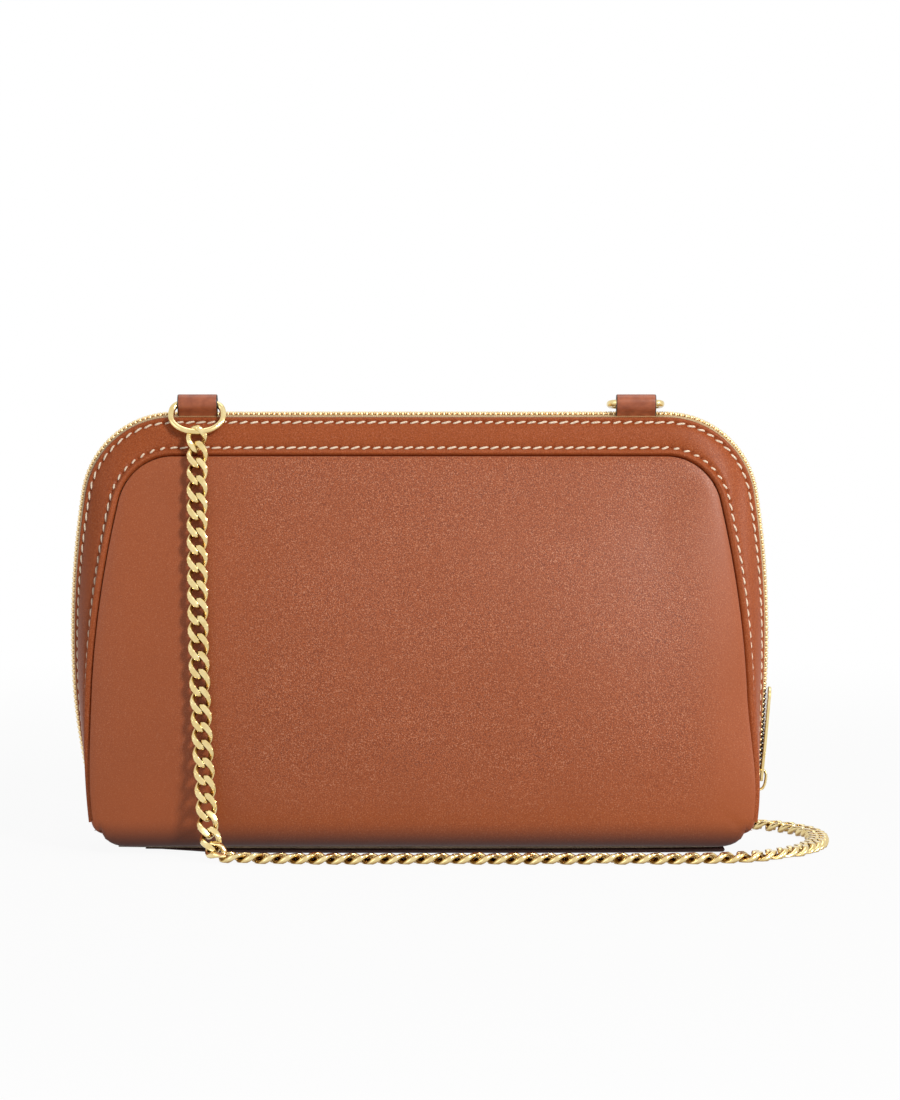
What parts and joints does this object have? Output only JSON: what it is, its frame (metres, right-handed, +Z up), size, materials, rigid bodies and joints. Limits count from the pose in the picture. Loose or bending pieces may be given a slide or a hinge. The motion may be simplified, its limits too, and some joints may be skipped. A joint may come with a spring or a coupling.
{
  "type": "clutch_bag",
  "caption": "Tan leather zip clutch with a flat base, gold D rings on leather tabs, a long gold curb chain and a zip round its top and both sides",
  "frame": {"origin": "middle of the flat underside of the base", "axes": "+X to the viewer's right along the clutch's width, +Y from the face with the tabs to the back, +Z up"},
  "size_m": [0.2256, 0.106, 0.1348],
  "materials": {
    "leather": "smooth tan calf with a fine grain and a soft sheen",
    "board": "bonded leather board, dull",
    "lining": "matt brown lining cloth",
    "zip_tape": "woven tape with a gold thread",
    "gold": "polished pale gold plating"
  },
  "bodies": {
    "far_half": {"base_panel": "leather", "base_board": "board", "base_lining": "lining", "far_panel": "leather", "far_board": "board", "far_lining": "lining", "far_band": "leather", "far_band_board": "board", "far_zip_tape": "zip_tape", "far_zip_teeth": "gold", "far_zip_top_stop": "gold", "zip_bottom_stop": "gold", "slip_pocket": "lining", "chain_floor": "gold", "chain_back": "gold", "chain_rise": "gold"},
    "near_half": {"near_panel": "leather", "near_board": "board", "near_lining": "lining", "near_band": "leather", "near_band_board": "board", "near_zip_tape": "zip_tape", "near_zip_teeth": "gold", "near_zip_top_stop": "gold", "left_tab": "leather", "right_tab": "leather", "chain_front": "gold"},
    "left_ring": {"left_ring": "gold", "left_end_link": "gold"},
    "right_ring": {"right_ring": "gold", "right_end_link": "gold"},
    "slider": {"zip_slider": "gold", "slider_bail": "gold"},
    "puller": {"zip_puller": "gold"}
  },
  "joints": [
    {"name": "near_half_opens", "type": "hinge", "parent": "far_half", "child": "near_half", "pos_m": [0, -0.021, 0.0012], "axis": [1, 0, 0], "range_deg": [0, 15], "deforming": ["chain_front"]},
    {"name": "left_ring_swings", "type": "hinge", "parent": "near_half", "child": "left_ring", "pos_m": [-0.0648, -0.0042, 0.1324], "axis": [-1, 0, 0], "range_deg": [0, 60]},
    {"name": "right_ring_swings", "type": "hinge", "parent": "near_half", "child": "right_ring", "pos_m": [0.0648, -0.0042, 0.1324], "axis": [1, 0, 0], "range_deg": [0, 110]},
    {"name": "slider_travels", "type": "hinge", "parent": "far_half", "child": "slider", "pos_m": [-0.1678, 0, 0.064], "axis": [0, -1, 0], "range_deg": [0, 14.5]},
    {"name": "puller_swings", "type": "hinge", "parent": "slider", "child": "puller", "pos_m": [0.10168, 0, 0.02001], "axis": [0, 1, 0], "range_deg": [0, 105]}
  ]
}
